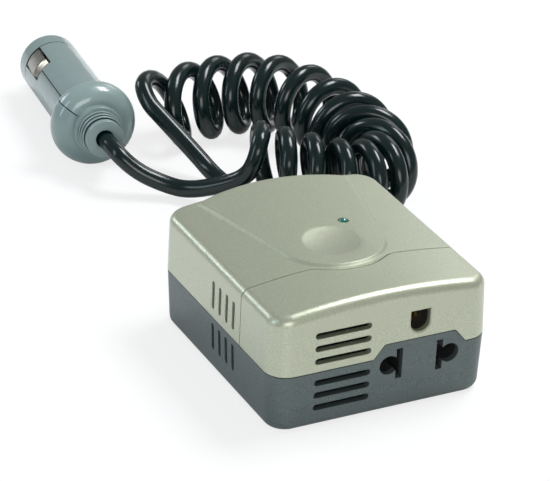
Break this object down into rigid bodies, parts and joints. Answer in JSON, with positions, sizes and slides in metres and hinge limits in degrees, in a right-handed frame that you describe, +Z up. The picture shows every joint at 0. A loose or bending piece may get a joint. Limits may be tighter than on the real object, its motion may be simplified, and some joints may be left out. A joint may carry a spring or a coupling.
{
  "type": "voltage converter",
  "caption": "Mobile voltage converter with a two-pole mains socket and earth opening, air vents, and a curly lead ending in a vehicle lighter-socket plug.",
  "frame": {"origin": "middle of the case's underside", "axes": "+Z up, -Y the way the socket faces, +Y the side the lead leaves, +X to the right seen from the socket side"},
  "size_m": [0.111, 0.2427, 0.0392],
  "materials": {
    "dark_case_plastic": "satin",
    "silver_case_plastic": "satin metallic",
    "screw_steel": "satin",
    "black_plastic": "matte",
    "brass": "satin",
    "board": "satin",
    "ferrite": "matte",
    "copper_tape": "gloss",
    "aluminium": "satin",
    "capacitor_sleeve": "gloss",
    "green_lens": "gloss",
    "cord_rubber": "gloss",
    "wire_sleeve": "gloss",
    "grey_green_plastic": "satin",
    "nickel": "satin"
  },
  "bodies": {
    "converter": {"lower_shell": "dark_case_plastic", "front_cover": "silver_case_plastic", "rear_cover": "silver_case_plastic", "case_screws": "screw_steel", "socket_insulator": "black_plastic", "left_contact": "brass", "right_contact": "brass", "earth_contact": "brass", "circuit_board": "board", "board_screws": "screw_steel", "transformer_core": "ferrite", "transformer_bobbin": "black_plastic", "transformer_winding": "copper_tape", "heat_sink": "aluminium", "sink_transistors": "black_plastic", "bridge_transistors": "black_plastic", "capacitors": "capacitor_sleeve", "control_chip": "black_plastic", "power_light": "green_lens", "cable_grommet": "cord_rubber", "input_wires": "wire_sleeve", "output_wires": "wire_sleeve", "cord_case_lead": "cord_rubber", "cord_coil": "cord_rubber", "cord_plug_lead": "cord_rubber", "plug_strain_relief": "grey_green_plastic", "plug_shell_upper": "grey_green_plastic", "plug_shell_lower": "grey_green_plastic", "plug_spring": "nickel"},
    "plug_nose": {"plug_nose_cap": "grey_green_plastic"},
    "plug_tip": {"plug_tip_contact": "nickel", "plug_fuse": "nickel"},
    "plug_contact_left": {"plug_side_contact_left": "nickel"},
    "plug_contact_right": {"plug_side_contact_right": "nickel"}
  },
  "joints": [
    {"name": "nose_cap_slide", "type": "slide", "parent": "converter", "child": "plug_nose", "axis": [0.1354, 0.9886, -0.0665], "range_m": [0, 0.012]},
    {"name": "tip_press", "type": "slide", "parent": "plug_nose", "child": "plug_tip", "axis": [-0.1354, -0.9886, 0.0665], "range_m": [0, 0.003], "stiffness_N_per_m": 800, "springref_m": -0.002},
    {"name": "left_contact_press", "type": "hinge", "parent": "converter", "child": "plug_contact_left", "pos_m": [-0.01172, 0.19258, 0.01588], "axis": [0.6171, -0.0316, 0.7863], "range_deg": [0, 5], "stiffness_Nm_per_rad": 0.15, "springref_deg": -2.29},
    {"name": "right_contact_press", "type": "hinge", "parent": "converter", "child": "plug_contact_right", "pos_m": [0.00146, 0.19007, 0.00544], "axis": [-0.6171, 0.0316, -0.7863], "range_deg": [0, 5], "stiffness_Nm_per_rad": 0.15, "springref_deg": -2.29}
  ]
}
